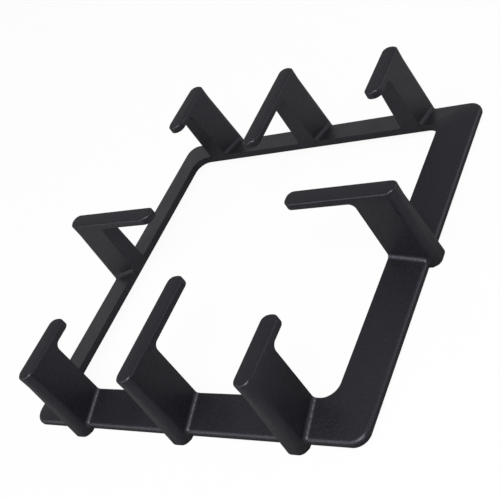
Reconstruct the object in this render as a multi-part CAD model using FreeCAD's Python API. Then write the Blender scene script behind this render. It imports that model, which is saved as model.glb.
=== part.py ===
import FreeCAD, Part
import math
import os

from FreeCAD import Placement, Rotation, Vector

# Cast pan support for one burner of a gas hob, made in one pour.
# A square frame with a top that slopes outwards carries eight fingers. Each finger is a
# leaning post that stands through the frame, with a foot below and a level rail above.
# Origin: centre of the plan, on the surface that the feet stand on. +Z is up, +X and +Y
# point at two sides of the frame. Lengths are in millimetres and angles in degrees.

# Frame in plan
frame_width = 260.0
frame_depth = 260.0
bar_width = 23.6
outer_corner_radius = 9.5
inner_corner_radius = 10.0

# Frame in section
bar_slope = 13.7
bar_thickness = 5.4
bar_clearance = 1.0
upper_edge_round = 2.9
lower_edge_round = 1.9

# Fingers: how far the end ones stand from the inner corners' rounds, and how far the
# rails reach in from the frame's outer edge
finger_from_corner = 11.4
long_reach = 74.2
short_reach = 43.8

# Rail on top of each finger; its ends are rounded but for a short flat
rail_top = 61.5
rail_thickness = 5.0
rail_width = 11.9
rail_edge_bevel = 1.1
rail_end_flat = 1.0

# Post of each finger, which stands proud of the bar outside and, a little, inside
post_lean = 2.8
post_root_width = 15.2
post_outset = 5.2
post_proud_inside = 0.25
post_inner_radius = 4.0
root_blend = 3.0

# Foot under each post
foot_depth = 16.0
foot_margin = 0.3
foot_height = 4.0

# Solids are first made taller and wider than needed, then trimmed or overlapped
spare_depth = 26.0
spare_margin = 12.0
post_start = -30.0
first_trim = -12.0
spare_overlap = 0.5

# Tolerances for finding edges
near = 0.02
close = 0.05
same_way_angle = 25.0

# Worked out from the sizes above
half_width = frame_width / 2
half_depth = frame_depth / 2
slope = math.tan(math.radians(bar_slope))
lean = math.tan(math.radians(post_lean))
bar_top_outer = bar_clearance + bar_thickness
bar_top_inner = bar_top_outer + bar_width * slope
rail_under = rail_top - rail_thickness
post_top = rail_under - post_inner_radius - 2 * spare_overlap
post_inner_face = bar_width + post_proud_inside - bar_top_inner * lean
end_round = (rail_width - rail_end_flat) / 2
finger_spacing = half_width - bar_width - inner_corner_radius - finger_from_corner
along = math.cos(math.radians(same_way_angle))

# Where each finger stands: x, y, direction it points in, reach of its rail
side_fingers = [(-half_width, 0.0, 0.0, long_reach), (half_width, 0.0, 180.0, long_reach)]
front_fingers = [(offset, -half_depth, 90.0, long_reach if offset == 0 else short_reach)
                 for offset in (-finger_spacing, 0.0, finger_spacing)]
back_fingers = [(offset, half_depth, -90.0, reach) for offset, _, _, reach in front_fingers]
fingers = side_fingers + front_fingers + back_fingers


def middle(edge):
    return edge.valueAt((edge.FirstParameter + edge.LastParameter) / 2)


def direction(edge):
    return edge.tangentAt((edge.FirstParameter + edge.LastParameter) / 2)


def edges_where(shape, wanted):
    """Edges of the shape for which wanted(middle point, direction) is true."""
    return [edge for edge in shape.Edges if wanted(middle(edge), direction(edge))]


def frame_outline(inset, below):
    """Outline of the frame, as arcs and lines in turn, moved inwards by inset and this far
    below its sloping top."""
    growth = (inner_corner_radius - outer_corner_radius) / bar_width
    radius = outer_corner_radius + growth * inset
    height = bar_top_outer + inset * slope - below
    across, along_depth = half_width - inset - radius, half_depth - inset - radius
    arcs = []
    for quarter, (x, y) in enumerate([(1, 1), (-1, 1), (-1, -1), (1, -1)]):
        centre = Vector(x * across, y * along_depth, height)
        turns = [math.radians(90 * quarter + part) for part in (0, 45, 90)]
        points = [centre + Vector(math.cos(turn), math.sin(turn), 0) * radius for turn in turns]
        arcs.append(Part.Arc(*points).toShape())
    edges = []
    for arc, following in zip(arcs, arcs[1:] + arcs[:1]):
        leave = arc.valueAt(arc.LastParameter)
        arrive = following.valueAt(following.FirstParameter)
        edges += [arc, Part.makeLine(leave, arrive)]
    return edges


def band(first, second):
    """Face between two edges: a plane, an upright cylinder or, at a sloping corner, a ruled face."""
    a, b = [edge.valueAt(edge.FirstParameter) for edge in (first, second)]
    d, c = [edge.valueAt(edge.LastParameter) for edge in (first, second)]
    if first.Curve.TypeId == "Part::GeomLine":
        return Part.Face(Part.makePolygon([a, b, c, d, a]))
    if abs(first.Curve.Radius - second.Curve.Radius) < near:
        return first.extrude(b - a)
    return Part.makeRuledSurface(first, second)


def ring(outlines):
    """Solid ring whose section has one corner on each outline."""
    bands = []
    for first, second in zip(outlines, outlines[1:] + outlines[:1]):
        bands += [band(*pair) for pair in zip(first, second)]
    shell = Part.makeShell(bands)
    shell.sewShape()
    solid = Part.makeSolid(shell)
    if solid.Volume < 0:
        solid.reverse()
    return solid


def make_tall_frame():
    """The frame with its finished top, running far down below its underside."""
    top = frame_outline(0, 0)
    tall = ring([top, frame_outline(bar_width, 0),
                 frame_outline(bar_width, spare_depth), frame_outline(0, spare_depth)])

    def on_top_edge(point, _):
        return Part.Wire(top).distToShape(Part.Vertex(point))[0] < near

    return tall.makeFillet(upper_edge_round, edges_where(tall, on_top_edge))


def make_space_below():
    """Everything under the sloping underside of the bar."""
    inside = bar_width + spare_margin
    low = 2 * spare_depth
    return ring([frame_outline(-spare_margin, bar_thickness), frame_outline(inside, bar_thickness),
                 frame_outline(inside, low), frame_outline(-spare_margin, low)])


def half_post(height):
    """Half the width of a post at this height; it tapers to the width of its rail."""
    return (post_root_width + (rail_width - post_root_width) * height / post_top) / 2


def leaning(start, height):
    """Distance in from the frame's edge of a post face that is at start on the ground."""
    return start + lean * height


def prism(points, along_axis):
    return Part.Face(Part.makePolygon(points + points[:1])).extrude(along_axis)


def make_space_under_rail(reach):
    """What is open below a rail, in from its post."""
    low, wide, end = post_start - near, post_root_width, reach + spare_margin
    corner = leaning(post_inner_face, rail_under)
    side = [(leaning(post_inner_face, low), low), (corner, rail_under),
            (end, rail_under), (end, low)]
    space = prism([Vector(x, -wide, z) for x, z in side], Vector(0, 2 * wide, 0))
    return space.makeFillet(post_inner_radius, edges_where(
        space, lambda point, way: point.z > rail_under - near and point.x < corner + near))


def make_post():
    """The leaning, tapering part, deeper than needed at the back and below."""
    low, high, back = post_start, post_top + spare_overlap, bar_width + spare_margin
    post = Part.makeWedge(leaning(-post_outset, low), low, -half_post(low), -half_post(high),
                          leaning(-post_outset, high), back, high, half_post(low),
                          half_post(high), back)
    post.rotate(Vector(0, 0, 0), Vector(1, 0, 0), 90)
    return post.makeFillet(end_round, edges_where(
        post, lambda point, way: abs(way.z) > along and point.x < 0))


def make_rail(reach):
    """The upright part above the post, all the way in to its tip."""
    start, low = leaning(-post_outset, post_top), post_top - spare_overlap
    rail = Part.makeBox(reach - start, rail_width, rail_top - low,
                        Vector(start, -rail_width / 2, low))
    rail = rail.makeFillet(end_round, edges_where(rail, lambda point, way: abs(way.z) > along))
    return rail.makeChamfer(rail_edge_bevel, edges_where(
        rail, lambda point, way: point.z > rail_top - near))


def make_finger(reach):
    """Post and rail; x runs in from the frame's edge, y along it, z up."""
    whole = make_post().fuse(make_rail(reach))
    return whole.cut(make_space_under_rail(reach)).Solids[0]


def placed(shape, x, y, turn):
    """Copy of a shape from a finger's own axes to where that finger stands."""
    copy = shape.copy()
    copy.Placement = Placement(Vector(x, y, 0), Rotation(Vector(0, 0, 1), turn))
    return copy


def own_axes(point, x, y, turn):
    """The point as seen from the finger that stands at x, y."""
    return Rotation(Vector(0, 0, 1), -turn).multVec(point - Vector(x, y, 0))


def level_space(top):
    """Everything below the level of top."""
    size, depth = 2 * max(frame_width, frame_depth), 2 * spare_depth
    return Part.makeBox(size, size, depth, Vector(-size / 2, -size / 2, top - depth))


def blend_roots(body):
    """Blend both sides of each post into the top and the outer face of the bar."""
    roots = []
    for x, y, turn, _ in fingers:
        def root(point, _):
            own = own_axes(point, x, y, turn)
            on_side = abs(abs(own.y) - half_post(own.z)) < close
            return on_side and 0 < own.x < bar_width and bar_top_outer < own.z < bar_top_inner

        found = edges_where(body, root)
        roots += [edge for edge in found if edge.Length > bar_width / 2]
    return body.makeFillet(root_blend, roots)


def make_feet(body):
    """The lowest slice of every post, which stays when the space below the bar is cut."""
    half = post_root_width / 2 + foot_margin
    pad = Part.makeBox(spare_margin + foot_depth - post_outset, 2 * half, foot_height,
                       Vector(-spare_margin, -half, 0))
    pads = Part.makeCompound([placed(pad, *finger[:3]) for finger in fingers])
    return body.common(pads).Solids


def make_pan_support():
    solids = {reach: make_finger(reach) for reach in (long_reach, short_reach)}
    body = make_tall_frame().fuse([placed(solids[finger[3]], *finger[:3]) for finger in fingers])
    body = blend_roots(body.cut(level_space(first_trim)))
    feet = make_feet(body)
    body = body.cut(make_space_below())
    body = body.makeFillet(lower_edge_round, edges_where(
        body, lambda point, way: point.z < bar_clearance + near))
    return body.fuse(feet).cut(level_space(0)).Solids[0]


pan_support = make_pan_support()
print("valid", pan_support.isValid(), "solids", len(pan_support.Solids),
      "volume", round(pan_support.Volume), "faces", len(pan_support.Faces))
os.makedirs("parts", exist_ok=True)
pan_support.exportStep("parts/pan_support.step")
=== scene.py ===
# %% [markdown]
# A cast pan support from a gas hob
#
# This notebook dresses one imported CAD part: a square cast-iron frame with eight fingers,
# finished in a matt black enamel. The solid shape is already right, so the work here is
# the finish, the light and the camera. We load the part first and never move it.

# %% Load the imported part
import math

import bpy
import numpy as np
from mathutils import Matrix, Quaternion, Vector

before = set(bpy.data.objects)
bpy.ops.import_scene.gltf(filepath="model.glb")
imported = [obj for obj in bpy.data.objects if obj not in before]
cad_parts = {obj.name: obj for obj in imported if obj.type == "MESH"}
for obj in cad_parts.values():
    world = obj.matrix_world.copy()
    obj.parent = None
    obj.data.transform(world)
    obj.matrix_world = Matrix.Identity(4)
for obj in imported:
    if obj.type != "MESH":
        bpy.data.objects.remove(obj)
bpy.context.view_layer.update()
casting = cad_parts["pan_support"]


# %% [markdown]
# The CAD mesh is made of loose triangles. A Weld modifier joins their corners, so that
# light can run smoothly over the rounds. An Edge Split modifier then keeps the edges that
# are really sharp on the casting, those of more than 50 degrees. The 45 degree bevels of
# the rails stay joined: a Weighted Normal modifier lets the large flat faces win at their
# rims, so the narrow bevels between them are shaded as rounds. We could bevel the mesh
# again instead, but these three modifiers leave every corner in its place.

# %% Smooth the rounds, keep the edges
same_corner = 0.000005
sharpest_round = math.radians(50)

casting.data.polygons.foreach_set("use_smooth", np.ones(len(casting.data.polygons), bool))
weld = casting.modifiers.new("Join loose corners", "WELD")
weld.merge_threshold = same_corner
split = casting.modifiers.new("Keep real edges", "EDGE_SPLIT")
split.split_angle = sharpest_round
split.use_edge_sharp = False
rounding = casting.modifiers.new("Large faces win", "WEIGHTED_NORMAL")
rounding.weight = 50
print("modifiers", [modifier.name for modifier in casting.modifiers])


# %% [markdown]
# Materials are built from nodes, and a few helpers keep that short. One makes an empty
# material and another adds a node with its values. A Map Range node turns one range of
# values into another, and we need it so often that it gets a helper of its own.

# %% Helpers for building node trees
def new_material(name):
    """An empty material and its node tree."""
    material = bpy.data.materials.new(name)
    material.use_nodes = True
    material.node_tree.nodes.clear()
    return material, material.node_tree


def add(tree, kind, **settings):
    """One node; in_Some_Name sets its input Some Name, other names set its properties."""
    node = tree.nodes.new(kind)
    for name, value in settings.items():
        if name.startswith("in_"):
            node.inputs[name[3:].replace("_", " ")].default_value = value
        else:
            setattr(node, name, value)
    return node


def ramp(tree, source, low, high, first, last):
    """Turns low to high into first to last, and stops at both ends."""
    node = add(tree, "ShaderNodeMapRange", in_From_Min=low, in_From_Max=high,
               in_To_Min=first, in_To_Max=last)
    tree.links.new(source, node.inputs["Value"])
    return node.outputs["Result"]


print("helpers for materials, nodes and ramps are ready")


# %% [markdown]
# Enamel on cast iron is a glassy coat over a sandy skin. Up close its relief has four
# sizes: slow waves from a pattern that was finished by hand, a few specks under the coat,
# the grain that the sand leaves, and the fine orange peel of the enamel itself. We take
# noise for three of them. The specks are the middles of Voronoi cells, which lie scattered
# and apart. All textures read Object coordinates, which are metres here, so a scale of 540
# means a pattern that repeats about 540 times in a metre.

# %% Four patterns for the relief
def noise(tree, place, scale, detail, roughness=0.5):
    """Smooth random values from 0 to 1; more detail adds finer layers."""
    node = add(tree, "ShaderNodeTexNoise", in_Scale=scale, in_Detail=detail,
               in_Roughness=roughness)
    tree.links.new(place, node.inputs["Vector"])
    return node.outputs["Fac"]


def scattered_specks(tree, place, scale, radius):
    """Small cones, 1 in the middle of each cell and 0 from this radius, counted in cells."""
    cells = add(tree, "ShaderNodeTexVoronoi", in_Scale=scale)
    tree.links.new(place, cells.inputs["Vector"])
    return ramp(tree, cells.outputs["Distance"], 0, radius, 1, 0)


def make_patterns(tree):
    """Waves, specks, grain and orange peel, from the slowest to the finest."""
    place = add(tree, "ShaderNodeTexCoord").outputs["Object"]
    return {"waves": noise(tree, place, 45, 2),
            "specks": scattered_specks(tree, place, 90, 0.07),
            "grain": noise(tree, place, 540, 4, 0.6),
            "peel": noise(tree, place, 2600, 2)}


print("patterns for waves, specks, grain and peel are ready")


# %% [markdown]
# A Bump node tilts the normal that the light meets, without moving the surface. That is
# right for relief far smaller than the part's own forms, and it costs no triangles. Each
# pattern has one Bump node, and each Bump node starts from the normal of the one before,
# so that the four reliefs add up.

# %% Relief of the enamel
bump_heights = {"waves": (0.0006, 0.25), "specks": (0.0002, 1.0),
                "grain": (0.0002, 1.0), "peel": (0.00002, 0.25)}


def add_relief(tree, patterns):
    """Normal after one bump for each pattern, with its distance in metres and strength."""
    normal = None
    for name, (height, strength) in bump_heights.items():
        bump = add(tree, "ShaderNodeBump", in_Distance=height, in_Strength=strength)
        tree.links.new(patterns[name], bump.inputs["Height"])
        if normal:
            tree.links.new(normal, bump.inputs["Normal"])
        normal = bump.outputs["Normal"]
    return normal


print("bumps", bump_heights)


# %% [markdown]
# The colour is a deep black with a trace of violet, and the grain makes it a little
# uneven. Nearly all that we see on such a black is gloss, so the tint goes into the gloss
# as well. The slow waves change the roughness from place to place, as a sprayed coat is
# never quite even. A plain black would have done for the colour, but the gloss is what
# tells enamel from paint.

# %% The enamel
deep_black = (0.0064, 0.0061, 0.0073, 1)
grain_black = (0.0100, 0.0096, 0.0115, 1)
violet_gloss = (0.87, 0.835, 1.0, 1)
smooth_patch, rough_patch = 0.34, 0.42


def mix_colours(tree, factor, first, second):
    """Goes from the first colour to the second; inputs 6 and 7 and output 2 hold colours."""
    node = add(tree, "ShaderNodeMix", data_type="RGBA")
    node.inputs[6].default_value = first
    node.inputs[7].default_value = second
    tree.links.new(factor, node.inputs["Factor"])
    return node.outputs[2]


def make_enamel():
    """Glossy black skin whose colour, roughness and normal follow the four patterns."""
    material, tree = new_material("Matt black enamel on cast iron")
    link = tree.links.new
    out = add(tree, "ShaderNodeOutputMaterial")
    skin = add(tree, "ShaderNodeBsdfPrincipled", in_Specular_IOR_Level=0.75,
               in_Specular_Tint=violet_gloss)
    patterns = make_patterns(tree)
    uneven = ramp(tree, patterns["grain"], 0.35, 0.65, 0, 1)
    patchy = ramp(tree, patterns["waves"], 0.3, 0.7, smooth_patch, rough_patch)
    link(mix_colours(tree, uneven, deep_black, grain_black), skin.inputs["Base Color"])
    link(patchy, skin.inputs["Roughness"])
    link(add_relief(tree, patterns), skin.inputs["Normal"])
    link(skin.outputs["BSDF"], out.inputs["Surface"])
    return material


enamel = make_enamel()
casting.data.materials.clear()
casting.data.materials.append(enamel)
print("enamel", len(enamel.node_tree.nodes), "nodes on", casting.name)


# %% [markdown]
# The part stands on a white table, a plain square that is large enough to fill the
# picture. It lies at zero height, exactly where the feet end.

# %% The table
table_size = 4.0


def make_table(size):
    """Flat square of points (x, y, 0) with |x| and |y| up to size / 2."""
    corners = np.array([(-1, -1, 0), (1, -1, 0), (1, 1, 0), (-1, 1, 0)]) * size / 2
    mesh = bpy.data.meshes.new("table")
    mesh.from_pydata(corners.tolist(), [], [(0, 1, 2, 3)])
    table = bpy.data.objects.new("table", mesh)
    bpy.context.scene.collection.objects.link(table)
    return table


table = make_table(table_size)
print("table", table.dimensions[:])


# %% [markdown]
# What lies under a glossy part shows in it. Close to the frame a real table is dark,
# because the casting keeps the light away. Here that is painted shade: the gloss sees a
# painted reflection of the table, darker near the frame, which makes the upright faces
# darker towards their roots. We work that painted shade out from the distance to the
# frame's four bars.
# Their middle lines form a square, and a point is on a square where the larger of |x| and
# |y| is half its width.

# %% Painted shade on the table round the frame
middle_of_bars = 0.118
shade_width = 0.045
in_the_shade, in_the_open = 0.08, 0.34


def calculate(tree, operation, first, second=None):
    """One Math node; the second value is another node's output or a plain number."""
    node = add(tree, "ShaderNodeMath", operation=operation)
    tree.links.new(first, node.inputs[0])
    if isinstance(second, (int, float)):
        node.inputs[1].default_value = second
    elif second:
        tree.links.new(second, node.inputs[1])
    return node.outputs[0]


def painted_shade_round_frame(tree):
    """Painted shade: brightness that grows with the distance | max(|x|, |y|) -
    middle_of_bars |.
    """
    spread = add(tree, "ShaderNodeSeparateXYZ")
    tree.links.new(add(tree, "ShaderNodeTexCoord").outputs["Object"], spread.inputs[0])
    sideways = calculate(tree, "ABSOLUTE", spread.outputs["X"])
    lengthways = calculate(tree, "ABSOLUTE", spread.outputs["Y"])
    square = calculate(tree, "MAXIMUM", sideways, lengthways)
    beyond = calculate(tree, "SUBTRACT", square, middle_of_bars)
    distance = calculate(tree, "ABSOLUTE", beyond)
    # painted shade: dark close to the bars, brighter further out
    return ramp(tree, distance, 0, shade_width, in_the_shade, in_the_open)


print("shade from", in_the_shade, "to", in_the_open, "over", shade_width, "m")


# %% [markdown]
# The table's material answers each ray by its kind, which a Light Path node tells. Camera
# rays see nearly plain white, as in a catalogue, with a small share of real paper that
# catches the part's soft shadow. Glossy and transmission rays see a painted reflection:
# an emission carrying the painted shade that we just made. All other rays see plain paper,
# so the table lights the part as paper does.

# %% White paper for the camera, a painted shaded reflection for the gloss
plain_white_share = 0.95
paper_white = (0.92, 0.92, 0.92, 1)


def mix_shaders(tree, factor, first, second):
    """The first shader where the factor is 0, the second where it is 1."""
    node = add(tree, "ShaderNodeMixShader")
    for source, socket in zip((factor, first, second), node.inputs):
        tree.links.new(source, socket)
    return node.outputs[0]


def make_paper():
    """White for the camera, a painted shaded reflection for the gloss and plain paper
    otherwise.
    """
    material, tree = new_material("White table")
    out = add(tree, "ShaderNodeOutputMaterial")
    paper = add(tree, "ShaderNodeBsdfPrincipled", in_Base_Color=paper_white,
                in_Roughness=0.9, in_Specular_IOR_Level=0.0)
    white = add(tree, "ShaderNodeEmission", in_Strength=1.0)
    # painted reflection: glossy rays see this emission, made darker near the frame as
    # painted shade
    painted_reflection = add(tree, "ShaderNodeEmission")
    tree.links.new(painted_shade_round_frame(tree), painted_reflection.inputs["Strength"])
    ray = add(tree, "ShaderNodeLightPath").outputs
    share = calculate(tree, "MULTIPLY", ray["Is Camera Ray"], plain_white_share)
    in_gloss = calculate(tree, "MAXIMUM", ray["Is Glossy Ray"], ray["Is Transmission Ray"])
    seen = mix_shaders(tree, share, paper.outputs[0], white.outputs[0])
    shown = mix_shaders(tree, in_gloss, seen, painted_reflection.outputs[0])
    tree.links.new(shown, out.inputs["Surface"])
    return material


paper = make_paper()
table.data.materials.append(paper)
print("paper", len(paper.node_tree.nodes), "nodes")


# %% [markdown]
# A black part shows hardly any colour of its own: what we see is what it mirrors. The sky
# is an even, pale light from all round, which gives the level faces their grey. The camera
# itself sees plain white behind the table. Sky and soft boxes together light a level sheet
# of white paper to just about white, so colours come out as they are written.

# %% The sky
sky_colour = (0.97, 0.98, 1.0, 1)
sky_strength = 0.285


def make_sky(colour, strength):
    """Light from all round, and plain white where the camera looks past the table."""
    world = bpy.data.worlds.new("Studio sky")
    world.use_nodes = True
    tree = world.node_tree
    tree.nodes.clear()
    light = add(tree, "ShaderNodeBackground", in_Color=colour, in_Strength=strength)
    white = add(tree, "ShaderNodeBackground", in_Color=(1, 1, 1, 1), in_Strength=1.0)
    ray = add(tree, "ShaderNodeLightPath").outputs
    shown = mix_shaders(tree, ray["Is Camera Ray"], light.outputs[0], white.outputs[0])
    out = add(tree, "ShaderNodeOutputWorld")
    tree.links.new(shown, out.inputs["Surface"])
    bpy.context.scene.world = world
    return world


sky = make_sky(sky_colour, sky_strength)
print(sky.name, sky_strength)


# %% [markdown]
# Four square soft boxes draw the highlights, and each has its own task. The key box stands
# a little above the camera and draws the bright lines at the roots of the posts. The box
# in front does the same for the fingers at the sides. The two low boxes light the round
# outer edges of the frame, in front and on the right. Small hard lamps would draw thin,
# glaring lines there instead.

# %% Soft boxes
box_distance = 1.6
box_size = 0.8
soft_boxes = {"Key box": ((0.39, -0.41, 0.80), 16.5),
              "Box in front": ((-0.22, -0.72, 0.71), 4.3),
              "Low box in front on the left": ((-0.59, -0.75, 0.30), 3.0),
              "Low box at the back on the right": ((0.75, 0.57, 0.30), 2.1)}


def add_soft_box(name, direction, power):
    """A square area light in this direction from the part, turned to face it."""
    light = bpy.data.lights.new(name, "AREA")
    light.shape = "SQUARE"
    light.size = box_size
    light.energy = power
    box = bpy.data.objects.new(name, light)
    away = Vector(direction).normalized()
    box.location = away * box_distance
    box.rotation_mode = "QUATERNION"
    box.rotation_quaternion = away.to_track_quat("Z", "Y")
    bpy.context.scene.collection.objects.link(box)
    print(name, power, "W")


for name, (direction, power) in soft_boxes.items():
    add_soft_box(name, direction, power)


# %% [markdown]
# The camera stands where the photographer's did. Its place and turn were worked out from
# the straight edges of the frame, whose four sides are equal. It is rolled, which makes
# the level frame look tilted, and a small shift puts the lens axis where it was in the
# picture.

# %% The camera
camera_place = (0.39667, -0.33280, 0.38020)
camera_turn = (0.88714218, 0.34252745, 0.29945547, 0.07733118)
focal_length = 69.12
lens_shift = (-0.0996, -0.04)


def make_camera():
    """A camera with a sensor 36 mm wide; its turn is a quaternion, w first."""
    camera = bpy.data.cameras.new("Catalogue camera")
    camera.sensor_width = 36
    camera.lens = focal_length
    camera.shift_x, camera.shift_y = lens_shift
    camera.clip_start, camera.clip_end = 0.01, 20
    stand = bpy.data.objects.new("Catalogue camera", camera)
    stand.location = camera_place
    stand.rotation_mode = "QUATERNION"
    stand.rotation_quaternion = Quaternion(camera_turn)
    bpy.context.scene.collection.objects.link(stand)
    return stand


bpy.context.scene.camera = make_camera()
bpy.context.scene.view_settings.view_transform = "Standard"
print("camera at", camera_place, "with a lens of", focal_length, "mm")
